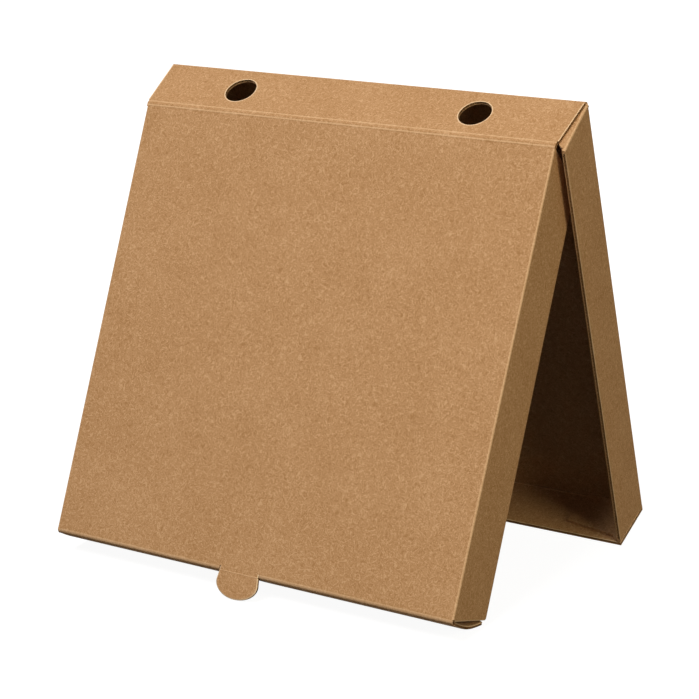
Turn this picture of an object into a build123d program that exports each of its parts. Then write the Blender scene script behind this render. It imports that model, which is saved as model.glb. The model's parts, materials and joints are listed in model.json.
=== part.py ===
from build123d import *
import math
import os

# Pizza box of folded kraft corrugated board, standing open like a tent.
# The base tray is the rear leg and the lid is the front leg.
# Lengths are in millimetres and angles in degrees.
# X runs along the lid hinge, Y to the rear, Z up, and the floor is at Z = 0.
os.makedirs("parts", exist_ok=True)

# Board and folds
BOARD = 2.2
FOLD_RADIUS = 3.0
CORNER_RADIUS = 1.6
CREASE_GAP = 0.3
CUT_OVERRUN = 5.0

# Base tray, over its outside faces as it lies closed
BASE_WIDTH = 332.0
BASE_LENGTH = 326.9
WALL_HEIGHT = 45.0
BACK_WALL_LEAN = 14.0
RIGHT_WALL_SPREAD = 4.0
LEFT_WALL_SPREAD = -1.2
BACK_WALL_ROOT_INSET = 1.0
BACK_WALL_HINGE_INSET = 3.3

# Corner tabs, glued inside the back wall and the front wall
CORNER_TAB_LENGTH = 44.0
CORNER_TAB_CLIP = 4.0
CORNER_TAB_SLOPE = 9.0
CORNER_TAB_DROP = 0.6

# Vent holes through the back wall
VENT_DIAMETER = 23.0
VENT_SPACING = 187.0
VENT_HEIGHT = 23.2

# Lid, measured from its hinge axis
LID_OPEN_ANGLE = 41.7
LID_HINGE_INSET = 4.0
LID_FRONT_INSET = 6.8
LID_FRONT_CLEARANCE = 1.2

# Thumb tab at the front of the lid, cut out of the front flap
THUMB_ROOT_WIDTH = 31.2
THUMB_WIDTH = 33.0
THUMB_DEPTH = 17.4
THUMB_STRAIGHT = 6.5
THUMB_OFFSET = -4.0
THUMB_CUT_GAP = 0.4

# Front flap of the lid
FRONT_FLAP_DEPTH = 43.0
FRONT_FLAP_FOLD = 94.0
FRONT_FLAP_CORNER = 9.0

# Side flaps of the lid
SIDE_FLAP_BASE_GAP = 0.5
SIDE_FLAP_HINGE_START = 2.4
SIDE_FLAP_HINGE_SLANT = 22.0
SIDE_FLAP_END_GAP = 0.6
SIDE_FLAP_END_SLANT = 4.6
SIDE_FLAP_CORNER = 2.0
REST_ON_WALL_GAP = 0.3

# Sizes that follow from the ones above
HALF_BOARD = BOARD / 2
AXIS_CLEARANCE = HALF_BOARD + CREASE_GAP
LEAN = math.radians(BACK_WALL_LEAN)
RIGHT_SPREAD = math.radians(RIGHT_WALL_SPREAD)
LEFT_SPREAD = math.radians(LEFT_WALL_SPREAD)
HALF_BASE = BASE_WIDTH / 2
BACK_WALL_ROOT_WIDTH = BASE_WIDTH - 2 * BACK_WALL_ROOT_INSET
BACK_WALL_HINGE_WIDTH = BASE_WIDTH - 2 * BACK_WALL_HINGE_INSET
LID_HINGE_WIDTH = BASE_WIDTH - 2 * LID_HINGE_INSET
LID_FRONT_WIDTH = BASE_WIDTH - 2 * LID_FRONT_INSET
WALL_FOOT = BASE_LENGTH - BOARD
HINGE_HEIGHT = WALL_HEIGHT - HALF_BOARD


def turn(point, degrees):
    """Turns a (y, z) point about the X axis."""
    angle = math.radians(degrees)
    y = point[0] * math.cos(angle) - point[1] * math.sin(angle)
    z = point[0] * math.sin(angle) + point[1] * math.cos(angle)
    return (y, z)


def along_back_wall(rise, depth):
    """A (y, z) point at a rise up the back wall and a depth inside its outer face."""
    y = -rise * math.sin(LEAN) - depth * math.cos(LEAN)
    z = rise * math.cos(LEAN) - depth * math.sin(LEAN)
    return (y, z)


def side_wall_reach(height, spread):
    """How far the outer face of a side wall is from the middle, at a height above the base."""
    return HALF_BASE + height * math.tan(spread)


def board_section(plane, points):
    """Section of one bent strip of board, given the corners of its outer face."""
    with BuildLine(plane) as outer:
        FilletPolyline(*points, radius=FOLD_RADIUS)
    return make_face(offset(outer.wire(), amount=BOARD, side=Side.RIGHT))


def tray_outline(height):
    """Rounded outline of the side walls with their corner tabs, at one height."""
    right = side_wall_reach(height, RIGHT_SPREAD)
    left = -side_wall_reach(height, LEFT_SPREAD)
    rear = -(BOARD + height * math.sin(LEAN)) / math.cos(LEAN)
    corners = [(left, -WALL_FOOT), (right, -WALL_FOOT), (right, rear), (left, rear)]
    rounded = fillet(Polygon(*corners, align=None).vertices(), CORNER_RADIUS)
    return Pos(0, 0, height) * rounded


def tray_envelope():
    """Everything inside the outer faces of the side walls and their corner tabs."""
    return loft([tray_outline(-CUT_OVERRUN), tray_outline(WALL_HEIGHT + CUT_OVERRUN)], ruled=True)


def corner_tab(top):
    """Outline of a right-hand corner tab: its length, clipped corner and sloping top."""
    inner = HALF_BASE - CORNER_TAB_LENGTH
    clip_top = top - CORNER_TAB_CLIP
    slope = math.tan(math.radians(CORNER_TAB_SLOPE))
    inner_top = clip_top - (CORNER_TAB_LENGTH - CORNER_TAB_CLIP) * slope
    return Polygon(
        (inner, BOARD),
        (HALF_BASE + CUT_OVERRUN, BOARD),
        (HALF_BASE + CUT_OVERRUN, top),
        (HALF_BASE - CORNER_TAB_DROP, top),
        (HALF_BASE - CORNER_TAB_DROP - CORNER_TAB_CLIP, clip_top),
        (inner, inner_top),
        align=None,
    )


def side_walls():
    """Base panel with the two spread side walls and their four glued corner tabs."""
    right_x = HALF_BASE + WALL_HEIGHT * math.sin(RIGHT_SPREAD)
    left_x = -HALF_BASE - WALL_HEIGHT * math.sin(LEFT_SPREAD)
    right_z = WALL_HEIGHT * math.cos(RIGHT_SPREAD)
    left_z = WALL_HEIGHT * math.cos(LEFT_SPREAD)
    corners = [(right_x, right_z), (HALF_BASE, 0), (-HALF_BASE, 0), (left_x, left_z)]
    section = board_section(Plane.XZ, corners)
    walls = extrude(section, amount=WALL_FOOT, dir=(0, -1, 0))
    tab = corner_tab(WALL_HEIGHT - CORNER_TAB_DROP)
    back_plane = Plane((0, 0, 0), x_dir=(1, 0, 0), z_dir=(0, -math.cos(LEAN), -math.sin(LEAN)))
    front_plane = Plane((0, -WALL_FOOT, 0), x_dir=(1, 0, 0), z_dir=(0, -1, 0))
    rear_tab = extrude(back_plane.offset(BOARD) * tab, amount=BOARD)
    front_tab = extrude(front_plane * tab, amount=-BOARD)
    tabs = rear_tab + front_tab
    return (walls + tabs + mirror(tabs, about=Plane.YZ)) & tray_envelope()


def end_limits():
    """Region that the cut ends of the back wall and of the front wall stay inside."""
    low = -CUT_OVERRUN
    high = WALL_HEIGHT + CUT_OVERRUN
    taper = (BACK_WALL_ROOT_WIDTH - BACK_WALL_HINGE_WIDTH) / WALL_HEIGHT / 2
    rear_low = BACK_WALL_ROOT_WIDTH / 2 - low * taper
    rear_high = BACK_WALL_ROOT_WIDTH / 2 - high * taper
    right_low = side_wall_reach(low, RIGHT_SPREAD)
    right_high = side_wall_reach(high, RIGHT_SPREAD)
    left_low = -side_wall_reach(low, LEFT_SPREAD)
    left_high = -side_wall_reach(high, LEFT_SPREAD)
    half_length = BASE_LENGTH / 2
    rear = Polygon((-rear_low, low), (rear_low, low), (rear_high, high), (-rear_high, high), align=None)
    front = Polygon((left_low, low), (right_low, low), (right_high, high), (left_high, high), align=None)
    rear_block = extrude(Plane.XZ * rear, amount=half_length)
    rear_block += extrude(Plane.XZ * rear, amount=-FOLD_RADIUS)
    front_block = extrude(Plane.XZ.offset(half_length) * front, amount=half_length + CUT_OVERRUN)
    return rear_block + front_block


def long_strip():
    """Back wall, base panel and front wall: one strip of board with two folds."""
    corners = [
        along_back_wall(HINGE_HEIGHT, 0),
        (0, 0),
        (-BASE_LENGTH, 0),
        (-BASE_LENGTH, WALL_HEIGHT),
    ]
    widest = side_wall_reach(WALL_HEIGHT, RIGHT_SPREAD) + CUT_OVERRUN
    strip = extrude(board_section(Plane.YZ, corners), amount=widest, both=True)
    strip &= end_limits()
    side_trim = Box(
        CUT_OVERRUN + 2 * FOLD_RADIUS,
        BASE_LENGTH - 2 * FOLD_RADIUS,
        BOARD + CUT_OVERRUN,
        align=(Align.MIN, Align.MAX, Align.CENTER),
    )
    side_trim = Pos(HALF_BASE - 2 * FOLD_RADIUS, -FOLD_RADIUS, 0) * side_trim
    strip -= side_trim
    strip -= mirror(side_trim, about=Plane.YZ)
    bead = Cylinder(HALF_BOARD, BACK_WALL_HINGE_WIDTH, rotation=(0, 90, 0))
    axis_y, axis_z = along_back_wall(HINGE_HEIGHT, HALF_BOARD)
    strip += Pos(0, axis_y, axis_z) * bead
    for side in (-1, 1):
        hole_y, hole_z = along_back_wall(VENT_HEIGHT, HALF_BOARD)
        hole = Cylinder(VENT_DIAMETER / 2, BOARD + CUT_OVERRUN)
        turned = Rot(90 + BACK_WALL_LEAN, 0, 0) * hole
        strip -= Pos(side * VENT_SPACING / 2, hole_y, hole_z) * turned
    return strip


def base_tray():
    """The glued tray, in its own frame: lying flat, back wall at Y = 0, front at -Y."""
    return side_walls() + long_strip()


# Where the lid's parts sit, in the lid's frame: hinge axis at the origin, lid closed
HINGE_Y, HINGE_Z = along_back_wall(HINGE_HEIGHT, HALF_BOARD)
LID_LENGTH = BASE_LENGTH - 2 * BOARD - LID_FRONT_CLEARANCE + HINGE_Y
FRONT_AXIS = LID_LENGTH - HALF_BOARD
SIDE_TAPER = (LID_HINGE_WIDTH - LID_FRONT_WIDTH) / 2 / LID_LENGTH
SIDE_AXIS_ANGLE = math.degrees(math.atan(SIDE_TAPER))
SIDE_AXIS_Z = -HALF_BOARD - CREASE_GAP / 2
THUMB_UNDERSIDE_RISE = WALL_HEIGHT + REST_ON_WALL_GAP - (HINGE_Z - HALF_BOARD)
CLOSED_LIFT = math.degrees(math.asin(THUMB_UNDERSIDE_RISE / (WALL_FOOT + HINGE_Y)))


def half_lid(distance):
    """Half the lid's width at a distance from the hinge axis."""
    return LID_HINGE_WIDTH / 2 - distance * SIDE_TAPER


def thumb_outline(grow):
    """Thumb tab, from its root at Y = 0 to -Y: flared sides and a half-oval end."""
    root = THUMB_ROOT_WIDTH / 2 + grow
    half = THUMB_WIDTH / 2 + grow
    oval = THUMB_DEPTH + grow - THUMB_STRAIGHT
    start = -THUMB_STRAIGHT
    with BuildSketch() as sketch:
        with BuildLine():
            Polyline((half, start), (root, 0), (root, CUT_OVERRUN), (-root, CUT_OVERRUN), (-root, 0), (-half, start))
            EllipticalCenterArc((0, start), half, oval, start_angle=180, arc_size=180)
        make_face()
    return Pos(THUMB_OFFSET, 0, 0) * sketch.sketch


def root_cutter(tilt):
    """Board removed round a hinge axis, up to a plane that the tilt leans."""
    block = Box(
        2 * LID_HINGE_WIDTH,
        2 * CUT_OVERRUN,
        4 * CUT_OVERRUN,
        align=(Align.CENTER, Align.MIN, Align.CENTER),
    )
    return Rot(tilt, 0, 0) * Pos(0, -AXIS_CLEARANCE, 0) * block


def lid_panel():
    """Lid with its thumb tab, the round bead of its front fold and its side folds."""
    rear = half_lid(0) - BOARD
    front = half_lid(FRONT_AXIS) - BOARD
    outline = Polygon((-rear, 0), (-front, -FRONT_AXIS), (front, -FRONT_AXIS), (rear, 0), align=None)
    panel = extrude(Pos(0, 0, -HALF_BOARD) * outline, amount=BOARD)
    fold_length = FRONT_AXIS / math.cos(math.atan(SIDE_TAPER))
    with BuildSketch(Plane.XZ) as corner:
        with BuildLine():
            Line((0, 0), (BOARD, 0))
            CenterArc((0, 0), BOARD, 0, 90)
            Line((0, BOARD), (0, 0))
        make_face()
    side_fold = extrude(corner.sketch, amount=fold_length)
    side_fold = Pos(rear, 0, -HALF_BOARD) * Rot(0, 0, -SIDE_AXIS_ANGLE) * side_fold
    panel += side_fold
    panel += mirror(side_fold, about=Plane.YZ)
    bead = Cylinder(HALF_BOARD, 2 * half_lid(FRONT_AXIS), rotation=(0, 90, 0))
    bead = Pos(0, -FRONT_AXIS, 0) * bead
    thumb_place = Pos(0, -FRONT_AXIS, -HALF_BOARD)
    bead -= extrude(thumb_place * thumb_outline(THUMB_CUT_GAP), amount=BOARD)
    panel += bead
    panel += extrude(thumb_place * thumb_outline(0), amount=BOARD)
    return panel - root_cutter(BACK_WALL_LEAN)


def front_flap():
    """Front flap, laid flat from its hinge axis at the origin towards -Y."""
    half = half_lid(FRONT_AXIS)
    free_edge = -(FRONT_FLAP_DEPTH - HALF_BOARD)
    outline = Polygon((-half, 0), (-half, free_edge), (half, free_edge), (half, 0), align=None)
    free_corners = outline.vertices().sort_by(Axis.Y)[:2]
    outline = fillet(free_corners, FRONT_FLAP_CORNER) - thumb_outline(THUMB_CUT_GAP)
    plate = extrude(Pos(0, 0, -HALF_BOARD) * outline, amount=BOARD)
    return plate - root_cutter(90 - FRONT_FLAP_FOLD)


def side_flap_depth(distance):
    """Depth of a side flap that leaves its running gap over the base when closed."""
    rise = HINGE_Z + HALF_BOARD + distance * math.sin(math.radians(CLOSED_LIFT))
    return rise - BOARD - SIDE_FLAP_BASE_GAP


def side_flap():
    """Right-hand side flap as it hangs from the lid, its ends slanted for clearance."""
    root = BOARD + CREASE_GAP
    slant_rear = math.tan(math.radians(SIDE_FLAP_HINGE_SLANT))
    slant_front = math.tan(math.radians(SIDE_FLAP_END_SLANT))
    rear_depth = side_flap_depth(0)
    front_depth = side_flap_depth(LID_LENGTH)
    end = LID_LENGTH - BOARD - SIDE_FLAP_END_GAP
    outline = Polygon(
        (SIDE_FLAP_HINGE_START, root),
        (end, root),
        (end - front_depth * slant_front, front_depth),
        (SIDE_FLAP_HINGE_START + rear_depth * slant_rear, rear_depth),
        align=None,
    )
    free_corners = outline.vertices().sort_by(Axis.Y)[2:]
    outline = fillet(free_corners, SIDE_FLAP_CORNER)
    angle = math.atan(SIDE_TAPER)
    outer_face = Plane(
        (half_lid(0), 0, HALF_BOARD),
        x_dir=(-math.sin(angle), -math.cos(angle), 0),
        z_dir=(math.cos(angle), -math.sin(angle), 0),
    )
    return extrude(outer_face * outline, amount=-BOARD)


# Folding: each piece goes from the frame that it was drawn in to the standing box
def standing_turn():
    """Turn that brings the tray's free front edge and the thumb tab's tip to one level."""
    rear_foot = (-BASE_LENGTH, WALL_HEIGHT)
    opened = turn((-FRONT_AXIS - THUMB_DEPTH, -HALF_BOARD), -LID_OPEN_ANGLE)
    front_foot = (opened[0] + HINGE_Y, opened[1] + HINGE_Z)
    slope = math.atan2(rear_foot[1] - front_foot[1], rear_foot[0] - front_foot[0])
    return -math.degrees(slope)


stand = Rot(standing_turn(), 0, 0)
lid_place = stand * Pos(0, HINGE_Y, HINGE_Z) * Rot(-LID_OPEN_ANGLE, 0, 0)
front_flap_place = lid_place * Pos(0, -FRONT_AXIS, 0) * Rot(FRONT_FLAP_FOLD, 0, 0)

pieces = {
    "base_tray": stand * base_tray(),
    "lid": lid_place * lid_panel(),
    "lid_front_flap": front_flap_place * front_flap(),
    "lid_right_flap": lid_place * side_flap(),
    "lid_left_flap": lid_place * mirror(side_flap(), about=Plane.YZ),
}

# The origin is the middle of the footprint, on the floor
whole = Compound(list(pieces.values())).bounding_box()
middle = (whole.min + whole.max) / 2
to_origin = Pos(-middle.X, -middle.Y, -whole.min.Z)
for name, piece in pieces.items():
    export_step(to_origin * piece, f"parts/{name}.step")

# Hinge axes in the finished frame, for the record
side_axis = half_lid(0) - BOARD
hinges = {
    "lid_hinge": (lid_place, (0, 0, 0), (-1, 0, 0)),
    "front_flap_hinge": (lid_place, (0, -FRONT_AXIS, 0), (-1, 0, 0)),
    "right_flap_hinge": (lid_place, (side_axis, 0, SIDE_AXIS_Z), (-SIDE_TAPER, -1, 0)),
    "left_flap_hinge": (lid_place, (-side_axis, 0, SIDE_AXIS_Z), (SIDE_TAPER, -1, 0)),
}
for name, (place, point, direction) in hinges.items():
    spot = to_origin * place * Pos(*point)
    heading = (to_origin * place * Pos(*point) * Pos(*direction)).position - spot.position
    print(name, tuple(spot.position / 1000), tuple(heading.normalized()))
print("closed lift", CLOSED_LIFT, "base leans", standing_turn() - 90)
print("lid length", LID_LENGTH, "box", whole.size)
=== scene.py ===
import bpy
import json
import math
from mathutils import Matrix, Vector


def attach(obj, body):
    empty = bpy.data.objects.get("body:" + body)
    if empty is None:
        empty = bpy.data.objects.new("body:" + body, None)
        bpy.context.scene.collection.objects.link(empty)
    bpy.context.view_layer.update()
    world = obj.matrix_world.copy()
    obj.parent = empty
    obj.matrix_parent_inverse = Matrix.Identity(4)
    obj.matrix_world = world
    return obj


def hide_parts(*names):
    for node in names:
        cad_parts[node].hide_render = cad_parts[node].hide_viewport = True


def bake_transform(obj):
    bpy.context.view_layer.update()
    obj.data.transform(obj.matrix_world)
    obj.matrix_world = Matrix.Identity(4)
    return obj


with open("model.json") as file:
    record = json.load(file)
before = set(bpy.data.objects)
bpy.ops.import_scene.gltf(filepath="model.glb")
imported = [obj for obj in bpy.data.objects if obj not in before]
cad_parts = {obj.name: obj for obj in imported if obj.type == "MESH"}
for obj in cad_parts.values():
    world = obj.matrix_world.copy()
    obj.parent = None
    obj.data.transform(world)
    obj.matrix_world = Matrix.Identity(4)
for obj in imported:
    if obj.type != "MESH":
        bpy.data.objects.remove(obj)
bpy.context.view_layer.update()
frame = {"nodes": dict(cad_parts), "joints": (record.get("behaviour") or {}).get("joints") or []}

# Everything is in metres, in the CAD's frame: X along the lid hinge, Y to the rear, Z up
MM = 0.001

# The board: two paper liners glued to a waved paper between them
BOARD = 2.2 * MM
HALF = BOARD / 2
LINER = 0.4 * MM
CORE = HALF - LINER
WAVE_PITCH = 2.4 * MM
WAVE_PAPER = 0.24 * MM
WAVE_STEPS = 6

# Its cut edges: depth that the waves show for, overlap of waves and filling, overlap that hides a joint,
# distance of the waves behind the liners' cut, and the pale rim's width and height
CUT_DEPTH = 1.4 * MM
PROUD = 0.3 * MM
CAP = 0.03 * MM
TRIM = 0.05 * MM
RIM_WIDTH = 0.75 * MM
RIM_PROUD = 0.005 * MM

# Limits for mesh work: a face counts as flat from this share of its normal, sides as parallel below this sine
FLAT_FROM = 0.95
PARALLEL_BELOW = 1e-6
HAIR = 0.01 * MM
FLATTEN_BELOW = math.radians(0.4)
SMOOTH_BELOW = math.radians(35)
RING_STEPS = 48
CORNER_STEPS = 8
THUMB_STEPS = 24

# Tray, lid and flaps, as in the CAD
BACK_WALL_LEAN = math.radians(14.0)
TRAY_TURN = math.radians(108.443861782)
LID_OPEN = math.radians(41.7)
FRONT_FOLD = math.radians(94.0)
WALL_HEIGHT = 45.0 * MM
HINGE_RISE = WALL_HEIGHT - HALF
BASE_HALF = 166.0 * MM
BASE_LENGTH = 326.9 * MM
RIGHT_SPREAD = math.radians(4.0)
LEFT_SPREAD = math.radians(-1.2)
STRIP_HALF_LOW = 165.0 * MM
STRIP_HALF_HIGH = 162.7 * MM
VENT_RADIUS = 11.5 * MM
VENT_ACROSS = 93.5 * MM
VENT_RISE = 23.2 * MM
LID_HALF_REAR = 162.0 * MM
LID_HALF_FRONT = 159.2 * MM
LID_LENGTH = 309.6123 * MM
FRONT_AXIS = LID_LENGTH - HALF
FLAP_DEPTH = 43.0 * MM
FLAP_CORNER = 4.0 * MM
THUMB_ROOT = 15.6 * MM
THUMB_HALF = 16.5 * MM
THUMB_DEPTH = 17.4 * MM
THUMB_STRAIGHT = 6.5 * MM
THUMB_OFFSET = -4.0 * MM
THUMB_GAP = 0.4 * MM
SIDE_START = 2.4 * MM
SIDE_END = 306.81 * MM
SIDE_DEPTH_REAR = 40.73 * MM
SIDE_DEPTH_FRONT = 44.756 * MM
SIDE_SLANT_REAR = math.tan(math.radians(22.0))
SIDE_SLANT_FRONT = math.tan(math.radians(4.6))
SIDE_CORNER = 2.0 * MM
SIDE_AXIS_INSET = BOARD
SIDE_AXIS_DROP = 1.25 * MM

# Folds, by the radius of the outer liner, and how far each reaches from its axis
FRONT_FOLD_RADIUS = 3.3 * MM
FRONT_REACH = 2.6 * MM
SIDE_FOLD_RADIUS = 1.3 * MM
SIDE_REACH = 2.5 * MM
HINGE_REACH = 2.6 * MM
TRAY_FOLD_RADIUS = 3.0 * MM
FOLD_END_GAP = 0.11 * MM
FOLD_END_DEPTH = 3.5 * MM
FOLD_STEPS = 12
FOLD_END_INSET = 0.5 * MM
NOTCH = 0.45 * MM
SCORE_WIDTH = 0.55 * MM
SCORE_RISE = 0.14 * MM
SCORE_STEPS = 6

# The hinge crease has a ridge on each side of it: distances from the crease, and shares of the ridge's height
RIDGE = 0.16 * MM
RIDGE_STOPS = ((HINGE_REACH, 0), (1.75 * MM, 0.6), (1.3 * MM, 1), (0.85 * MM, 0.5))
CREASE_STEPS = 6

# Where a fold is painted pale, as rubbing and as a painted highlight, by a face's normal and centre before the
# fold
# is put in its place: its ends look along Z, straight parts along X or Y, the front fold's lid side nearly
# along Y, and the ridges lie in a band
END_FROM = 0.5
STRAIGHT_FROM = 0.99
LID_SIDE_FROM, LID_SIDE_TO = 0.8, 0.999
RIDGES_FROM, RIDGES_TO = 0.9 * MM, 2.0 * MM
CREASE_OFFSET = HALF * 0.4

# Distances either way across its axis for each kind of fold, passed to bends()
HINGE_BEND = -2.0 * MM, 2.0 * MM
FRONT_BEND = -0.8 * MM, 0.8 * MM
SIDE_BEND = -0.24 * MM, 0.03 * MM

# The tray's open edges: they start above its folds, and stop short of the front and rear corners
EDGE_START = 4.0 * MM
EDGE_FRONT_END = 5.0 * MM
RIGHT_EDGE_END = 16.0 * MM
LEFT_EDGE_END = 25.0 * MM
REAR_CORNER_CLIP = (5.0 * MM, 30.4 * MM), (30.0 * MM, 50.1 * MM), (5.0 * MM, 50.1 * MM)

# A face of the tray is on a fold if it looks along none of the panels and is smaller than any of them, in m2
FOLD_BELOW = 0.985
PANEL_FROM = 2e-3

# The front flap bows outwards between its fold and its free edge
BOW = 2.4 * MM
BOW_SPAN = 36.0 * MM
BOW_STEPS = 10

# Camera, fitted to the corners of the box in the photograph
CAMERA_PLACE = (0.79391, -1.23800, 0.55547)
CAMERA_AZIMUTH = 32.636
CAMERA_ELEVATION = 15.740
CAMERA_ROLL = -0.383
FOCAL_PIXELS = 2209.55
PHOTO_PIXELS = 699
SENSOR = 36.0
CAMERA_FAR = 50

# Studio: floor, and the floor's glow from near the box to away from it
FLOOR_SIZE = 12
FLOOR_DROP = 0.2 * MM
GLOW_FROM, GLOW_TO = 0.3, 0.9
GLOW_NEAR, GLOW_FAR = 0.94, 1.0

HINGE = Vector({joint["name"]: joint for joint in frame["joints"]}["lid_hinge"]["pos_m"])


def turned(place, angle, shift=(0, 0, 0)):
    """Matrix that turns about X, then moves to a place; the shift comes before the turn."""
    return Matrix.Translation(place) @ Matrix.Rotation(angle, 4, "X") @ Matrix.Translation(shift)


def facing(origin, along, rise, outward):
    """Frame of a panel in the middle of its board, from a point of its outer face."""
    axes = Matrix((along, rise, outward)).transposed().to_4x4()
    return Matrix.Translation(origin) @ axes @ Matrix.Translation((0, 0, -HALF))


# Frames of the flat panels: Z out of the outer face, from the middle of the board
hinge_y = -HINGE_RISE * math.sin(BACK_WALL_LEAN) - HALF * math.cos(BACK_WALL_LEAN)
hinge_z = HINGE_RISE * math.cos(BACK_WALL_LEAN) - HALF * math.sin(BACK_WALL_LEAN)
TRAY = turned(HINGE, TRAY_TURN, (0, -hinge_y, -hinge_z))
LID = turned(HINGE, TRAY_TURN - LID_OPEN)
FRONT_FLAP = LID @ turned((0, -FRONT_AXIS, 0), FRONT_FOLD)
UPRIGHT = Matrix.Rotation(math.radians(-90) + BACK_WALL_LEAN, 4, "X")
STRIP = TRAY @ UPRIGHT @ Matrix.Translation((0, 0, -HALF))
FRONT_WALL = TRAY @ facing((0, -BASE_LENGTH, 0), (1, 0, 0), (0, 0, 1), (0, -1, 0))
sine, cosine = math.sin(RIGHT_SPREAD), math.cos(RIGHT_SPREAD)
RIGHT_WALL = TRAY @ facing((BASE_HALF, 0, 0), (0, 1, 0), (sine, 0, cosine), (cosine, 0, -sine))
sine, cosine = math.sin(LEFT_SPREAD), math.cos(LEFT_SPREAD)
LEFT_WALL = TRAY @ facing((-BASE_HALF, 0, 0), (0, -1, 0), (-sine, 0, cosine), (-cosine, 0, -sine))
SIDE_TAPER = math.atan((LID_HALF_REAR - LID_HALF_FRONT) / LID_LENGTH)
TAPER_SINE, TAPER_COSINE = math.sin(SIDE_TAPER), math.cos(SIDE_TAPER)
RIGHT_FLAP = LID @ facing((LID_HALF_REAR, 0, HALF), (-TAPER_SINE, -TAPER_COSINE, 0), (0, 0, -1),
                          (TAPER_COSINE, -TAPER_SINE, 0))
LEFT_FLAP = LID @ facing((-LID_HALF_REAR, 0, HALF), (TAPER_SINE, -TAPER_COSINE, 0), (0, 0, 1),
                         (-TAPER_COSINE, -TAPER_SINE, 0))

# A fold's section is drawn flat and pulled up in Z, which these turn along X, or along the lid to its front
ACROSS = Matrix(((0, 0, 1), (1, 0, 0), (0, 1, 0))).to_4x4()
FORWARD = Matrix(((1, 0, 0), (0, 0, -1), (0, 1, 0))).to_4x4()


def linear(hex_colour):
    """sRGB hex text to the linear colour that Blender's sockets take."""
    shares = []
    for i in (0, 2, 4):
        value = int(hex_colour[i:i + 2], 16) / 255
        shares.append(value / 12.92 if value <= 0.04045 else ((value + 0.055) / 1.055) ** 2.4)
    return (*shares, 1.0)


def add(tree, kind, settings=None, **inputs):
    """Adds one node with its settings, and its inputs as values or as other nodes' outputs."""
    made = tree.nodes.new(kind)
    for name, value in (settings or {}).items():
        setattr(made, name, value)
    for name, value in inputs.items():
        key = int(name[1:]) if name[0] == "i" and name[1:].isdigit() else name.replace("_", " ")
        if isinstance(value, bpy.types.NodeSocket):
            tree.links.new(value, made.inputs[key])
        else:
            made.inputs[key].default_value = value
    return made


# Kraft paper, as pressed and glued to the flutes. Sizes of its features, in millimetres:
FIBRE_WANDER = 7.0
FIBRE_SIZE = 2.6
BLOTCH_SIZE = 34.0
GRAIN_SIZE = 0.8
FLECK_SIZE = 1.3
BUMP_DEPTH = 0.12

# Strengths: width of a line as a share of the noise's range, shares of the tone, and the tones of both ends
STREAK_WIDTH = 0.055
HOLLOW_WIDTH = 0.05
HOLLOW_SHIFT = (0.37, 0.11, 0.73)
STREAK_START = 0.4
HOLLOW_SHARE, HOLLOW_START = 0.8, 0.25
BLOTCH_SHARE = 0.32
DARK_TONE, MIDDLE_TONE, LIGHT_TONE = 0.15, 0.5, 0.85
FLECK_FROM, FLECK_FULL, FLECK_SHARE = 0.7, 0.78, 0.45
ROUGHER, SMOOTHER = 0.08, 0.06
BUMP_STRENGTH = 0.35
SPECULAR = 0.25


def thin_lines(tree, place, width):
    """Thin curling lines, 1 on the line and 0 off it, where a noise of the fibres' size passes its middle."""
    noise = add(tree, "ShaderNodeTexNoise", Vector=place, Scale=1 / (FIBRE_SIZE * MM),
                Detail=1.5, Roughness=0.45)
    off = add(tree, "ShaderNodeMath", {"operation": "SUBTRACT"}, i0=noise.outputs["Fac"], i1=0.5).outputs[0]
    off = add(tree, "ShaderNodeMath", {"operation": "ABSOLUTE"}, i0=off).outputs[0]
    return add(tree, "ShaderNodeMapRange", {"interpolation_type": "SMOOTHSTEP"}, Value=off,
               From_Min=0.0, From_Max=width, To_Min=1.0, To_Max=0.0).outputs[0]


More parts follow.
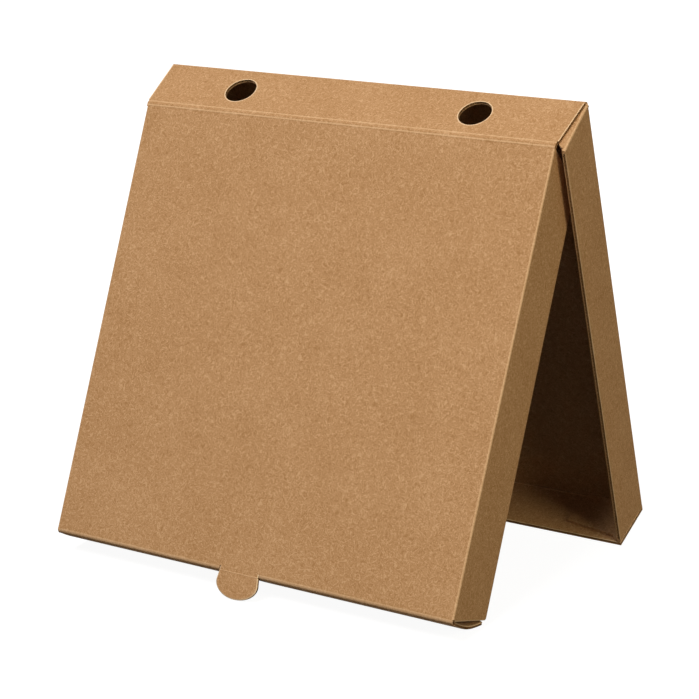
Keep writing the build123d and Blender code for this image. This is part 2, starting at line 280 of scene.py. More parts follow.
def kraft(name, dark, middle, light, streak=0.38, grain=0.36, roughness=0.82):
    """Kraft paper: curling streaks of fibre, soft blotches, fine grain and a few flecks give its mottle."""
    material = bpy.data.materials.new(name)
    material.use_nodes = True
    tree = material.node_tree
    shader = tree.nodes["Principled BSDF"]
    place = add(tree, "ShaderNodeTexCoord").outputs["Object"]

    # The fibres' place wanders, so that the streaks curl
    wander = add(tree, "ShaderNodeTexNoise", Vector=place, Scale=1 / (FIBRE_WANDER * MM), Detail=1.0)
    offset = add(tree, "ShaderNodeVectorMath", {"operation": "SUBTRACT"},
                 i0=wander.outputs["Color"], i1=(0.5, 0.5, 0.5)).outputs[0]
    offset = add(tree, "ShaderNodeVectorMath", {"operation": "SCALE"}, i0=offset, Scale=FIBRE_WANDER * MM)
    curled = add(tree, "ShaderNodeVectorMath", {"operation": "ADD"}, i0=place, i1=offset.outputs[0]).outputs[0]
    shifted = add(tree, "ShaderNodeVectorMath", {"operation": "ADD"}, i0=curled, i1=HOLLOW_SHIFT).outputs[0]

    # Light streaks, dark hollows, blotches and grain add up to one tone
    streaks = thin_lines(tree, curled, STREAK_WIDTH)
    hollows = thin_lines(tree, shifted, HOLLOW_WIDTH)
    blotch = add(tree, "ShaderNodeTexNoise", Vector=place, Scale=1 / (BLOTCH_SIZE * MM),
                 Detail=3.0, Roughness=0.55)
    grains = add(tree, "ShaderNodeTexNoise", Vector=place, Scale=1 / (GRAIN_SIZE * MM),
                 Detail=2.0, Roughness=0.6)
    tone = add(tree, "ShaderNodeMath", {"operation": "MULTIPLY_ADD"},
               i0=streaks, i1=streak, i2=MIDDLE_TONE - STREAK_START * streak).outputs[0]
    for pattern, share, start in ((hollows, -HOLLOW_SHARE * streak, HOLLOW_START * streak),
                                  (blotch.outputs["Fac"], BLOTCH_SHARE, -BLOTCH_SHARE / 2),
                                  (grains.outputs["Fac"], 2 * grain, -grain)):
        part = add(tree, "ShaderNodeMath", {"operation": "MULTIPLY_ADD"}, i0=pattern, i1=share, i2=start)
        tone = add(tree, "ShaderNodeMath", {"operation": "ADD"}, i0=tone, i1=part.outputs[0]).outputs[0]

    # The tone is turned into a colour, with a few dark flecks on it
    ramp = add(tree, "ShaderNodeValToRGB", Fac=tone)
    colours = ramp.color_ramp
    colours.elements[0].position, colours.elements[0].color = DARK_TONE, linear(dark)
    colours.elements[1].position, colours.elements[1].color = LIGHT_TONE, linear(light)
    colours.elements.new(MIDDLE_TONE).color = linear(middle)
    fleck = add(tree, "ShaderNodeTexNoise", Vector=curled, Scale=1 / (FLECK_SIZE * MM), Detail=0.0)
    few = add(tree, "ShaderNodeMapRange", Value=fleck.outputs["Fac"],
              From_Min=FLECK_FROM, From_Max=FLECK_FULL, To_Min=0.0, To_Max=FLECK_SHARE)
    flecked = add(tree, "ShaderNodeMix", {"data_type": "RGBA"},
                  i0=few.outputs[0], i6=ramp.outputs["Color"], i7=linear(dark))
    tree.links.new(flecked.outputs[2], shader.inputs["Base Color"])

    # The same tone makes raised fibres a little smoother
    rough = add(tree, "ShaderNodeMapRange", Value=tone,
                To_Min=roughness + ROUGHER, To_Max=roughness - SMOOTHER)
    tree.links.new(rough.outputs[0], shader.inputs["Roughness"])
    bump = add(tree, "ShaderNodeBump", Strength=BUMP_STRENGTH, Distance=BUMP_DEPTH * MM, Height=tone)
    tree.links.new(bump.outputs["Normal"], shader.inputs["Normal"])
    shader.inputs["Specular IOR Level"].default_value = SPECULAR
    return material


# Kraft liner: the smooth outer paper, mottled tan, that most of the box shows
LINER_PAPER = kraft("kraft_liner_paper", "A87C4E", "BC9063", "CDA377")
# Its cut rim: torn fibres show as a paler line along every cut edge
RIM_PAPER = kraft("kraft_liner_cut_rim", "D2AD82", "E4C298", "F0D4B0",
                  streak=0.1, grain=0.2, roughness=0.9)
# Liner on a fold, painted paler: partly rubbing, and partly a painted highlight where the crease faces the
# light
RUBBED_AND_HIGHLIGHT_PAPER = kraft("kraft_liner_rubbed_fold_painted_highlight", "BC9264", "D3AA7E", "E2BD93",
                     streak=0.2, grain=0.2, roughness=0.86)
# Waved medium: the darker, rougher paper between the liners, seen as flutes at the cut edges
WAVE_MEDIUM = kraft("kraft_waved_medium", "7E5A34", "946E46", "A88258",
                    streak=0.1, grain=0.2, roughness=0.92)


def start_clean():
    """Leaves edit mode and deselects everything, before the next piece is begun."""
    if bpy.context.object and bpy.context.object.mode != "OBJECT":
        bpy.ops.object.mode_set(mode="OBJECT")
    bpy.ops.object.select_all(action="DESELECT")


def only(piece):
    """Makes a piece the only one that is selected, and the active one."""
    start_clean()
    bpy.context.view_layer.objects.active = piece
    piece.select_set(True)


def painted(piece, *materials):
    """Gives a piece these materials, in the order of its faces' indices."""
    piece.data.materials.clear()
    for material in materials:
        piece.data.materials.append(material)
    return piece


def prism(points, low, high, name="cutter"):
    """Flat outline of points, pulled up from a low to a high level."""
    start_clean()
    bpy.ops.mesh.primitive_circle_add(vertices=len(points), radius=1, fill_type="NGON")
    piece = bpy.context.object
    piece.name = name
    for vertex, (x, y) in zip(piece.data.vertices, points):
        vertex.co = (x, y, low)
    bpy.ops.object.mode_set(mode="EDIT")
    bpy.ops.mesh.select_all(action="SELECT")
    bpy.ops.mesh.extrude_region_move(TRANSFORM_OT_translate={"value": (0, 0, high - low)})
    bpy.ops.mesh.select_all(action="SELECT")
    bpy.ops.mesh.normals_make_consistent(inside=False)
    bpy.ops.object.mode_set(mode="OBJECT")
    return piece


def boolean(piece, cutter, operation="DIFFERENCE"):
    """Cuts a piece with another one, which is used up."""
    only(piece)
    cut = piece.modifiers.new("cut", "BOOLEAN")
    cut.operation = operation
    cut.object = cutter
    cut.solver = "EXACT"
    bpy.ops.object.modifier_apply(modifier=cut.name)
    bpy.data.objects.remove(cutter)
    return piece


def bake_place(piece, place):
    """Puts a piece where its frame says, with the place in its mesh."""
    piece.data.transform(place)
    piece.matrix_world = Matrix.Identity(4)
    return piece


def joined(name, pieces):
    """Joins pieces into the first of them, under a name."""
    start_clean()
    for piece in pieces:
        piece.select_set(True)
    bpy.context.view_layer.objects.active = pieces[0]
    bpy.ops.object.join()
    pieces[0].name = name
    pieces[0].data.name = name
    return pieces[0]


def moved(points, amounts):
    """Outline with each side moved inwards by its amount; outwards where that is negative."""
    count = len(points)
    lines = []
    for i in range(count):
        a, b = Vector(points[i]), Vector(points[(i + 1) % count])
        along = (b - a).normalized()
        inward = Vector((-along.y, along.x))
        lines.append((a + inward * amounts[i], along))
    corners = []
    for i in range(count):
        (p, u), (q, v) = lines[i - 1], lines[i]
        cross = u.x * v.y - u.y * v.x
        if abs(cross) < PARALLEL_BELOW:
            corners.append(tuple(q))
            continue
        step = ((q - p).x * v.y - (q - p).y * v.x) / cross
        corners.append(tuple(p + u * step))
    return corners


def liner(points, cut, core_level, face_level, name):
    """Liner of a flat panel. Its cut sides slope to the outer face, pressed by the die, with paler fibres."""
    sheet = prism(points, min(core_level, face_level), max(core_level, face_level), name)
    painted(sheet, LINER_PAPER, RIM_PAPER)
    pressed = moved(points, [RIM_WIDTH if c else 0 for c in cut])
    for vertex in sheet.data.vertices:
        if abs(vertex.co.z - face_level) < CAP:
            nearest = min(range(len(points)), key=lambda i: (Vector(points[i]) - vertex.co.xy).length)
            vertex.co.xy = pressed[nearest]
    sheet.data.update()
    for face in sheet.data.polygons:
        face.material_index = 0 if abs(face.normal.z) > FLAT_FROM else 1
    return sheet


def waves(low, high, along_y=True):
    """Waved medium over a rectangle: flutes run along X, and the wave is along Y (or the other way)."""
    (x0, y0), (x1, y1) = low, high
    count = max(1, round((y1 - y0) / WAVE_PITCH)) if along_y else max(1, round((x1 - x0) / WAVE_PITCH))
    start_clean()
    steps = count * WAVE_STEPS
    cuts = (1, steps) if along_y else (steps, 1)
    bpy.ops.mesh.primitive_grid_add(x_subdivisions=cuts[0], y_subdivisions=cuts[1], size=1)
    sheet = bpy.context.object
    rise = HALF - LINER - WAVE_PAPER / 2 + CAP
    for vertex in sheet.data.vertices:
        x = x0 + (vertex.co.x + 0.5) * (x1 - x0)
        y = y0 + (vertex.co.y + 0.5) * (y1 - y0)
        turn = 2 * math.pi * count * ((vertex.co.y if along_y else vertex.co.x) + 0.5)
        vertex.co = (x, y, rise * math.cos(turn))
    thick = sheet.modifiers.new("thick", "SOLIDIFY")
    thick.thickness = WAVE_PAPER
    thick.offset = 0
    bpy.ops.object.modifier_apply(modifier="thick")
    return painted(sheet, WAVE_MEDIUM)


def waves_at_cuts(points, cut, flutes_cross_y):
    """Waved medium inside an outline, trimmed to the band behind its cut sides."""
    xs, ys = [p[0] for p in points], [p[1] for p in points]
    low, high = (min(xs) - PROUD, min(ys) - PROUD), (max(xs) + PROUD, max(ys) + PROUD)
    wave = waves(low, high, flutes_cross_y)
    band = moved(points, [TRIM if c else 0 for c in cut])
    filled = moved(points, [CUT_DEPTH + PROUD if c else -PROUD for c in cut])
    wave = boolean(wave, prism(band, -HALF, HALF), "INTERSECT")
    return boolean(wave, prism(filled, -BOARD, BOARD))


def board(name, points, cut, flutes_cross_y=True):
    """Flat panel of board: two liners, a filled middle and waves at its cut sides. points is its outline,
    anticlockwise. cut holds True for each side that is a cut edge, and False for one that ends at a fold."""
    inner = moved(points, [CUT_DEPTH if c else 0 for c in cut])
    liners = [liner(points, cut, side * CORE, side * HALF, name) for side in (1, -1)]
    middle = painted(prism(inner, -CORE, CORE, name), WAVE_MEDIUM)
    return joined(name, [*liners, middle, waves_at_cuts(points, cut, flutes_cross_y)])


def arc(cx, cy, rx, ry, start, end, steps):
    """Points on a part of an oval, from a start to an end angle in degrees."""
    points = []
    for i in range(steps + 1):
        angle = math.radians(start + (end - start) * i / steps)
        points.append((cx + rx * math.cos(angle), cy + ry * math.sin(angle)))
    return points


def ring(x, y, radius):
    return arc(x, y, radius, radius, 0, 360 - 360 / RING_STEPS, RING_STEPS - 1)


def rounded(corners, radii, cut):
    """Outline with some corners rounded, and the cut flag of each of its sides."""
    points, flags = [], []
    for i, radius in enumerate(radii):
        here, after = Vector(corners[i]), Vector(corners[(i + 1) % len(corners)])
        if not radius:
            points.append(tuple(here))
            flags.append(cut[i])
            continue
        back, on = (Vector(corners[i - 1]) - here).normalized(), (after - here).normalized()
        half = back.angle(on) / 2
        middle = here + (back + on).normalized() * (radius / math.sin(half))
        reach = radius / math.tan(half)
        first, last = here + back * reach - middle, here + on * reach - middle
        for step in range(CORNER_STEPS + 1):
            points.append(tuple(middle + first.slerp(last, step / CORNER_STEPS).normalized() * radius))
            flags.append(True)
        flags[-1] = cut[i]
    return points, flags


def lid_half(distance):
    """Half of the lid's width, at a distance from the hinge."""
    return LID_HALF_REAR + (LID_HALF_FRONT - LID_HALF_REAR) * distance / LID_LENGTH


def strip_half(rise):
    """Half of the back wall's width, at a height on it."""
    return STRIP_HALF_LOW + (STRIP_HALF_HIGH - STRIP_HALF_LOW) * rise / WALL_HEIGHT


def thumb(grow):
    """Thumb tab's outline from its right root to its left root, by way of its tip."""
    root, half = THUMB_ROOT + grow, THUMB_HALF + grow
    oval = THUMB_DEPTH + grow - THUMB_STRAIGHT
    curve = arc(THUMB_OFFSET, -THUMB_STRAIGHT, half, oval, 0, -180, THUMB_STEPS)
    return [(THUMB_OFFSET + root, 0)] + curve + [(THUMB_OFFSET - root, 0)]


def folded(height, turn, radius, reach):
    """Line of a board bent round a corner at (0, 0) of its outer faces, at a height off its middle."""
    depth, slope = HALF - height, math.tan(turn / 2)
    onward, outward = Vector((math.cos(turn), -math.sin(turn))), Vector((math.sin(turn), math.cos(turn)))
    points = [Vector((-reach, -depth))]
    if radius - depth > TRIM:
        centre = Vector((-radius * slope, -radius))
        for step in range(FOLD_STEPS + 1):
            angle = turn * step / FOLD_STEPS
            points.append(centre + Vector((math.sin(angle), math.cos(angle))) * (radius - depth))
    else:
        points.append(Vector((-depth * slope, -depth)))
    return points + [onward * reach - outward * depth]


def fold_bar(name, line, low, high, place, rubbed_and_highlit):
    """Board bent round a fold: two liners round a recessed middle. line gives the fold's section at a height
    off the board's middle. The last argument says of a face's normal and centre whether the outer liner is
    painted pale there, partly as rubbing and partly as a painted highlight."""
    layers = []
    papers = (-HALF, -CORE, LINER_PAPER), (-CORE, CORE, WAVE_MEDIUM), (CORE, HALF, LINER_PAPER)
    for base, top, material in papers:
        recess = 0 if material is LINER_PAPER else CUT_DEPTH
        layer = prism(line(base) + line(top)[::-1], low + recess, high - recess, name)
        painted(layer, material, RUBBED_AND_HIGHLIGHT_PAPER)
        if top == HALF:
            for face in layer.data.polygons:
                face.material_index = int(rubbed_and_highlit(face.normal, face.center))
        only(layer)
        bpy.ops.object.shade_smooth_by_angle(angle=SMOOTH_BELOW)
        layers.append(layer)
    return bake_place(joined(name, layers), place)


def build_lid():
    """Lid panel, from the hinge to the start of the front fold and on into the thumb tab, which is scored."""
    front = FRONT_AXIS - FRONT_REACH
    rear = HINGE_REACH
    inset = SIDE_REACH
    tab = [(x, y - FRONT_AXIS) for x, y in thumb(0)]
    points = [(lid_half(rear) - inset, -rear), (-lid_half(rear) + inset, -rear)]
    points += [(-lid_half(front) + inset, -front), (tab[-1][0], -front)] + tab[::-1]
    points += [(tab[0][0], -front), (lid_half(front) - inset, -front)]
    cut = [False, False, False] + [True] * (len(tab) + 1) + [False, False]
    panel = board("lid_board", points, cut)
    # The thumb tab's score is a low ridge, painted pale as rubbing and as a painted highlight
    line = arc(-FRONT_AXIS, HALF, SCORE_WIDTH / 2, SCORE_RISE, 180, 0, SCORE_STEPS)
    low, high = THUMB_OFFSET - THUMB_ROOT + TRIM, THUMB_OFFSET + THUMB_ROOT - TRIM
    score = painted(bake_place(prism(line, low, high), ACROSS), RUBBED_AND_HIGHLIGHT_PAPER)
    return bake_place(joined("lid_board", [panel, score]), LID)


def bowed(flap):
    """Bends the flap across its depth, as a long flap under load does."""
    only(flap)
    bpy.ops.object.mode_set(mode="EDIT")
    for step in range(1, BOW_STEPS + 1):
        bpy.ops.mesh.select_all(action="SELECT")
        level = FRONT_REACH + (FLAP_DEPTH - FRONT_REACH) * step / (BOW_STEPS + 1)
        bpy.ops.mesh.bisect(plane_co=(0, -level, 0), plane_no=(0, 1, 0))
    bpy.ops.object.mode_set(mode="OBJECT")
    for vertex in flap.data.vertices:
        along = (-vertex.co.y - FRONT_REACH) / BOW_SPAN
        vertex.co.z += BOW * math.sin(math.pi * along) if along > 0 else 0
    return flap


def build_front_flap():
    """Front flap, from the end of its fold to its free edge, with a notch where the thumb tab was cut out."""
    root, free = -FRONT_REACH, -(FLAP_DEPTH - HALF)
    half = LID_HALF_FRONT
    notch = [(x, y) for x, y in thumb(THUMB_GAP) if y < root]
    corners = [(half, root), (notch[0][0], root)] + notch + [(notch[-1][0], root), (-half, root)]
    corners += [(-half, free), (half, free)]
    radii = [0] * (len(corners) - 2) + [FLAP_CORNER] * 2
    cut = [False] + [True] * (len(notch) + 1) + [False] + [True] * 3
    points, flags = rounded(corners, radii, cut)
    return bake_place(bowed(board("front_flap_board", points, flags)), FRONT_FLAP)


def build_side_flap(name, place, side):
    """Side flap of the lid, from the end of its fold to its free edge, with slanting ends."""
    root = SIDE_REACH
    corners = [(SIDE_START, root), (SIDE_END, root)]
    corners += [(SIDE_END - SIDE_DEPTH_FRONT * SIDE_SLANT_FRONT, SIDE_DEPTH_FRONT)]
    corners += [(SIDE_START + SIDE_DEPTH_REAR * SIDE_SLANT_REAR, SIDE_DEPTH_REAR)]
    points, flags = rounded(corners, [0, 0, SIDE_CORNER, SIDE_CORNER], [False, True, True, True])
    if side < 0:
        points = [(x, -y) for x, y in points][::-1]
        flags = flags[-2::-1] + flags[-1:]
    return bake_place(board(name, points, flags, flutes_cross_y=False), place)


def hinge_line(height):
    """Crease between lid and back wall, as (y, z) from the hinge, at a height off the middle of the board."""
    half_turn = math.pi - (math.pi / 2 + BACK_WALL_LEAN + LID_OPEN)
    down = Vector((math.sin(BACK_WALL_LEAN), -math.cos(BACK_WALL_LEAN)))
    out = Vector((math.cos(BACK_WALL_LEAN), math.sin(BACK_WALL_LEAN)))
    turn = Matrix.Rotation(half_turn, 2)
    on, off = -(turn @ down), turn @ out
    ridge = RIDGE if height == HALF else 0
    stops = [(distance, ridge * share) for distance, share in RIDGE_STOPS]
    points = [down * s + out * (height + r) for s, r in stops]
    if height > 0:
        for step in range(CREASE_STEPS + 1):
            spoke = Matrix.Rotation(half_turn * step / CREASE_STEPS, 2) @ out
            points.append(spoke * height)
    else:
        points.append((out + off).normalized() * height / math.cos(half_turn / 2))
    points += [on * s + off * (height + r) for s, r in stops[::-1]]
    return [tuple(p) for p in points]


def front_line(height):
    """Fold between lid and front flap, as (y, z) from the lid's frame."""
    corner = FRONT_AXIS + HALF * math.tan(FRONT_FOLD / 2)
    reach = FRONT_REACH + HALF * math.tan(FRONT_FOLD / 2)
    return [(-corner - u, HALF + v) for u, v in folded(height, FRONT_FOLD, FRONT_FOLD_RADIUS, reach)]


def side_line(side):
    """Fold between lid and side flap, as (x, z) from the lid's frame."""
    def line(height):
        bend = folded(height, math.pi / 2, SIDE_FOLD_RADIUS, SIDE_REACH)
        return [(side * (LID_HALF_REAR + u), HALF + v) for u, v in bend]
    return line


def on_the_bend(normal, centre):
    """Pale part of a side fold, rubbing and a painted highlight: all of the bend between its two straight
    parts.
    """
    return abs(normal.z) < END_FROM and max(abs(normal.x), abs(normal.y)) < STRAIGHT_FROM


def near_the_lid(normal, centre):
    """Painted highlight on the front fold: the first part of the bend, next to the lid's flat face, where it
    faces the light.
    """
    return abs(normal.z) < END_FROM and LID_SIDE_FROM < normal.y < LID_SIDE_TO


def on_the_ridges(normal, centre):
    """Pale part of the hinge, rubbing and a painted highlight: the two ridges beside the crease."""
    return abs(normal.z) < END_FROM and RIDGES_FROM < centre.xy.length - CREASE_OFFSET < RIDGES_TO


def build_side_fold(name, side):
    """Fold of a side flap, which follows the taper of the lid."""
    rear, front = HINGE_REACH, FRONT_AXIS - FRONT_REACH
    bar = fold_bar(name, side_line(side), rear, front, Matrix.Identity(4), on_the_bend)
    for vertex in bar.data.vertices:
        vertex.co.x += side * (lid_half(vertex.co.z) - LID_HALF_REAR)
    return bake_place(bar, LID @ FORWARD)


def bends(piece, first, second, axis, across, before, after):
    """Bakes a piece's place into its mesh, without bending it."""
    axis, across = Vector(axis), Vector(across).normalized()
    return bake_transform(piece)


def copy_of_tray():
    """The CAD's own tray, with its flat faces whole again."""
    start_clean()
    source = frame["nodes"]["base_tray"]
    tray = bpy.data.objects.new("tray_board", source.data.copy())
    bpy.context.scene.collection.objects.link(tray)
    only(tray)
    bpy.ops.mesh.customdata_custom_splitnormals_clear()
    bpy.ops.object.mode_set(mode="EDIT")
    bpy.ops.mesh.select_all(action="SELECT")
    bpy.ops.mesh.remove_doubles(threshold=HAIR)
    bpy.ops.mesh.dissolve_limited(angle_limit=FLATTEN_BELOW)
    bpy.ops.mesh.normals_make_consistent(inside=False)
    bpy.ops.object.mode_set(mode="OBJECT")
    return painted(tray, LINER_PAPER, RIM_PAPER, RUBBED_AND_HIGHLIGHT_PAPER)


def fold_corners():
    """Cutters that round the ends of the front fold off to the side folds."""
    for side, spread in ((1, RIGHT_SPREAD), (-1, LEFT_SPREAD)):
        middle = BASE_HALF - TRAY_FOLD_RADIUS * math.tan(math.radians(45) - spread / 2)
        radius = TRAY_FOLD_RADIUS + FOLD_END_GAP
        outline = arc(middle, TRAY_FOLD_RADIUS, radius, radius, -math.degrees(spread), -90, CORNER_STEPS)
        outline += [(middle, -MM), (BASE_HALF + MM, -MM), (BASE_HALF + MM, outline[0][1])]
        outline = [(side * x, y) for x, y in outline]
        yield bake_place(prism(outline, BASE_LENGTH - FOLD_END_DEPTH, BASE_LENGTH + MM), TRAY @ FORWARD)


def trim(tray):
    """Cuts off the back wall's top, where the hinge fold goes, the left wall's rear corner and the front
    fold's ends."""
    cut_height = HINGE_RISE - HINGE_REACH
    top = [(-BASE_LENGTH, -WALL_HEIGHT - CUT_DEPTH), (BASE_LENGTH, -WALL_HEIGHT - CUT_DEPTH)]
    top += [(BASE_LENGTH, -cut_height), (-BASE_LENGTH, -cut_height)]
    boolean(tray, bake_place(prism(top, -HALF - HAIR, BOARD), STRIP))
    boolean(tray, bake_place(prism(REAR_CORNER_CLIP, -HALF - TRIM, BOARD), LEFT_WALL))
    for corner in fold_corners():
        boolean(tray, corner)


def open_edges():
    """Flat outlines of the tray's walls, with their frames, their cut sides and the way of their flutes."""
    low, high = EDGE_START, HINGE_RISE - HINGE_REACH
    strip = [(strip_half(high), -high), (strip_half(low), -low)]
    strip += [(-strip_half(low), -low), (-strip_half(high), -high)]
    yield STRIP, strip, [True, False, True, False], True
    low, high = EDGE_START, WALL_HEIGHT
    spread = math.tan(RIGHT_SPREAD), math.tan(LEFT_SPREAD)
    front = [(-BASE_HALF - low * spread[1], low), (BASE_HALF + low * spread[0], low)]
    front += [(BASE_HALF + high * spread[0], high), (-BASE_HALF - high * spread[1], high)]
    yield FRONT_WALL, front, [False, True, True, True], True
    far = BASE_LENGTH - EDGE_FRONT_END
    for place, x0, x1 in ((RIGHT_WALL, -far, -RIGHT_EDGE_END), (LEFT_WALL, LEFT_EDGE_END, far)):
        yield place, [(x0, low), (x1, low), (x1, high), (x0, high)], [False, False, True, False], False


def rims(points, cut, inner_only):
    """Pale cut rims along the cut sides of a panel, on both of its faces or on its inner face alone."""
    made = []
    for low, high in ((HALF - CAP, HALF + RIM_PROUD), (-HALF - RIM_PROUD, -HALF + CAP))[int(inner_only):]:
        bar = prism(points, low, high, "rim")
        inner = prism(moved(points, [RIM_WIDTH if c else -MM for c in cut]), low - MM, high + MM)
        made.append(painted(boolean(bar, inner), RIM_PAPER))
    return made


def edge_walls(tray):
    """Grooves the tray's open edges, and makes the waves and rims that show there."""
    added = []
    for place, points, cut, flutes_cross_y in open_edges():
        groove = prism(moved(points, [-MM if c else 0 for c in cut]), -CORE, CORE)
        groove = boolean(groove, prism(moved(points, [CUT_DEPTH if c else -MM for c in cut]), -BOARD, BOARD))
        boolean(tray, bake_place(groove, place))
        faces_the_floor = place is FRONT_WALL
        edging = [waves_at_cuts(points, cut, flutes_cross_y), *rims(points, cut, faces_the_floor)]
        added += [bake_place(piece, place) for piece in edging]
    return added


def edge_vents(tray):
    """Grooves the two vent holes of the back wall, and makes the waves and rims that show there."""
    added = []
    for side in (-1, 1):
        x, y = side * VENT_ACROSS, -VENT_RISE
        reach = VENT_RADIUS + CUT_DEPTH
        boolean(tray, bake_place(prism(ring(x, y, reach), -CORE, CORE), STRIP))
        wave = waves((x - reach, y - reach), (x + reach, y + reach))
        wave = boolean(wave, prism(ring(x, y, reach + PROUD), -HALF, HALF), "INTERSECT")
        wave = boolean(wave, prism(ring(x, y, VENT_RADIUS + TRIM), -BOARD, BOARD))
        rim = prism(ring(x, y, VENT_RADIUS + RIM_WIDTH), HALF - CAP, HALF + RIM_PROUD)
        rim = painted(boolean(rim, prism(ring(x, y, VENT_RADIUS), 0, BOARD)), RIM_PAPER)
        added += [bake_place(wave, STRIP), bake_place(rim, STRIP)]
    return added


def rub_and_highlight_folds(tray):
    """Paints the tray's folds pale: partly rubbing, and partly a painted highlight along each crease."""
    inverse = TRAY.to_3x3().inverted()
    flats = [Vector(v) for v in ((1, 0, 0), (0, 1, 0), (0, 0, 1))]
    flats += [inverse @ (place.to_3x3() @ Vector((0, 0, 1))) for place in (STRIP, RIGHT_WALL, LEFT_WALL)]
    for face in tray.data.polygons:
        normal = inverse @ face.normal
        if max(abs(normal.dot(flat)) for flat in flats) < FOLD_BELOW and face.area < PANEL_FROM:
            face.material_index = 2


def build_tray():
    """Tray: the CAD's own shape, with the waves of the board cut into its open edges."""
    tray = copy_of_tray()
    trim(tray)
    added = edge_walls(tray) + edge_vents(tray)
    rub_and_highlight_folds(tray)
    only(tray)
    bpy.ops.object.shade_smooth_by_angle(angle=SMOOTH_BELOW)
    even = tray.modifiers.new("even", "WEIGHTED_NORMAL")
    even.keep_sharp = True
    bpy.ops.object.modifier_apply(modifier="even")
    return joined("tray_board", [tray, *added])


tray = build_tray()
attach(tray, "tray")
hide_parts("base_tray")
lid = build_lid()
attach(lid, "lid")
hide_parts("lid")
front_flap = build_front_flap()
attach(front_flap, "front_flap")
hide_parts("lid_front_flap")
right_flap = build_side_flap("right_flap_board", RIGHT_FLAP, 1)
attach(right_flap, "right_flap")
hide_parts("lid_right_flap")
left_flap = build_side_flap("left_flap_board", LEFT_FLAP, -1)
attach(left_flap, "left_flap")
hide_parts("lid_left_flap")

# The folds that the lid and the flaps turn on
hinge_place = turned(HINGE, TRAY_TURN) @ ACROSS
hinge_fold = fold_bar("lid_hinge_fold", hinge_line, -LID_HALF_REAR, LID_HALF_REAR, hinge_place, on_the_ridges)
half_open = (math.pi / 2 - BACK_WALL_LEAN - LID_OPEN) / 2
bends(hinge_fold, "tray", "lid", (0, 0, 0), (0, -math.cos(half_open), math.sin(half_open)), *HINGE_BEND)
end = lid_half(FRONT_AXIS) - FOLD_END_INSET
thumb_left, thumb_right = THUMB_OFFSET - THUMB_ROOT - NOTCH, THUMB_OFFSET + THUMB_ROOT + NOTCH
slope = (0, -math.cos(FRONT_FOLD / 2), -math.sin(FRONT_FOLD / 2))
for name, low, high in (("front_fold_left", -end, thumb_left), ("front_fold_right", thumb_right, end)):
    fold = fold_bar(name, front_line, low, high, LID @ ACROSS, near_the_lid)
    bends(fold, "lid", "front_flap", (0, -FRONT_AXIS, 0), slope, *FRONT_BEND)
for name, body, side in (("right_side_fold", "right_flap", 1), ("left_side_fold", "left_flap", -1)):
    fold = build_side_fold(name, side)
    axis = side * (LID_HALF_REAR - SIDE_AXIS_INSET), 0, -SIDE_AXIS_DROP
    bends(fold, "lid", body, axis, (side * TAPER_COSINE, -TAPER_SINE, -1), *SIDE_BEND)


def look_at_the_box():
    """Adds the camera where the photograph was taken from."""
    data = bpy.data.cameras.new("photo_camera")
    data.sensor_width = SENSOR
    data.lens = FOCAL_PIXELS / PHOTO_PIXELS * SENSOR
    data.clip_end = CAMERA_FAR
    camera = bpy.data.objects.new("photo_camera", data)
    bpy.context.scene.collection.objects.link(camera)
    azimuth, elevation = math.radians(CAMERA_AZIMUTH), math.radians(CAMERA_ELEVATION)
    level = math.cos(elevation)
    back = Vector((math.sin(azimuth) * level, -math.cos(azimuth) * level, math.sin(elevation)))
    right = Vector((math.cos(azimuth), math.sin(azimuth), 0))
    up = back.cross(right)
    roll = Matrix.Rotation(math.radians(CAMERA_ROLL), 3, back)
    axes = Matrix((roll @ right, roll @ up, back)).transposed()
    camera.matrix_world = Matrix.Translation(CAMERA_PLACE) @ axes.to_4x4()
    bpy.context.scene.camera = camera


def lamp(name, place, aim, power, size, colour=(1, 1, 1)):
    """Adds a square lamp at a place, aimed at a point."""
    data = bpy.data.lights.new(name, "AREA")
    data.energy = power
    data.color = colour
    data.size = size
    light = bpy.data.objects.new(name, data)
    bpy.context.scene.collection.objects.link(light)
    light.location = place
    light.rotation_euler = (Vector(place) - Vector(aim)).to_track_quat("Z", "Y").to_euler()


def seen_as(tree, shown, unseen):
    """Shader that the camera, mirrors and glass see one way, and the light that bounces another way."""
    path = add(tree, "ShaderNodeLightPath").outputs
    looked = path["Is Camera Ray"]
    for way in ("Is Glossy Ray", "Is Transmission Ray"):
        looked = add(tree, "ShaderNodeMath", {"operation": "MAXIMUM"}, i0=looked, i1=path[way]).outputs[0]
    return add(tree, "ShaderNodeMixShader", i0=looked, i1=unseen, i2=shown).outputs[0]


look_at_the_box()

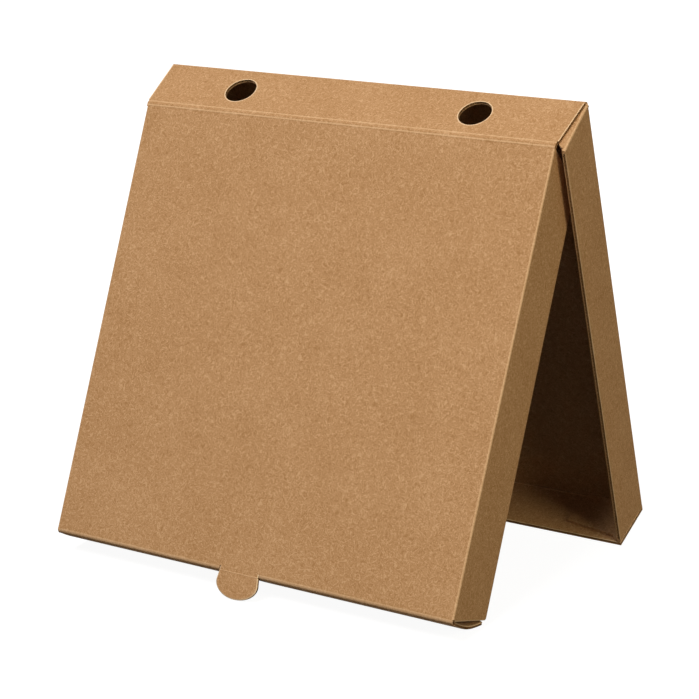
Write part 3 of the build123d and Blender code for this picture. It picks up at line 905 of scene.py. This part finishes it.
# Floor and backdrop: white paper in the picture, and a greyer paper to the light that bounces off it
bpy.ops.mesh.primitive_plane_add(size=FLOOR_SIZE, location=(0, 0, -FLOOR_DROP))
floor = bpy.context.object
floor.name = "floor"
paper = bpy.data.materials.new("pale_studio_paper")
paper.use_nodes = True
tree = paper.node_tree
tree.nodes.remove(tree.nodes["Principled BSDF"])
place = add(tree, "ShaderNodeTexCoord").outputs["Object"]
far = add(tree, "ShaderNodeVectorMath", {"operation": "LENGTH"}, i0=place).outputs["Value"]
level = add(tree, "ShaderNodeMapRange", Value=far,
            From_Min=GLOW_FROM, From_Max=GLOW_TO, To_Min=GLOW_NEAR, To_Max=GLOW_FAR).outputs[0]
glow = add(tree, "ShaderNodeEmission", Strength=level).outputs[0]
shaded = add(tree, "ShaderNodeBsdfDiffuse", Color=(0.2, 0.2, 0.2, 1)).outputs[0]
shown = add(tree, "ShaderNodeAddShader", i0=glow, i1=shaded).outputs[0]
unseen = add(tree, "ShaderNodeBsdfDiffuse", Color=(0.06, 0.054, 0.045, 1)).outputs[0]
tree.links.new(seen_as(tree, shown, unseen), tree.nodes["Material Output"].inputs["Surface"])
floor.data.materials.append(paper)
world = bpy.data.worlds.new("studio")
bpy.context.scene.world = world
world.use_nodes = True
tree = world.node_tree
tree.nodes.remove(tree.nodes["Background"])
shown = add(tree, "ShaderNodeBackground", Color=(1, 1, 1, 1), Strength=1.0).outputs[0]
unseen = add(tree, "ShaderNodeBackground", Color=(1.0, 0.9, 0.7, 1), Strength=0.1).outputs[0]
tree.links.new(seen_as(tree, shown, unseen), tree.nodes["World Output"].inputs["Surface"])

# Soft lamps: a key high in front, a warm one low on the right, and one behind that lifts the floor's shadow
lamp("key", place=(-0.3, -1.7, 2.6), aim=(0, 0, 0.15), power=76.5, size=1.5, colour=(1.0, 0.99, 1.02))
lamp("side", place=(1.75, -0.68, 0.9), aim=(0.1, 0.05, 0.1), power=13.8, size=0.7, colour=(1.0, 0.93, 0.7))
lamp("back", place=(-0.4, 2.4, 1.3), aim=(0, 0.1, 0.15), power=30, size=1.2)

bpy.context.scene.view_settings.view_transform = "Standard"
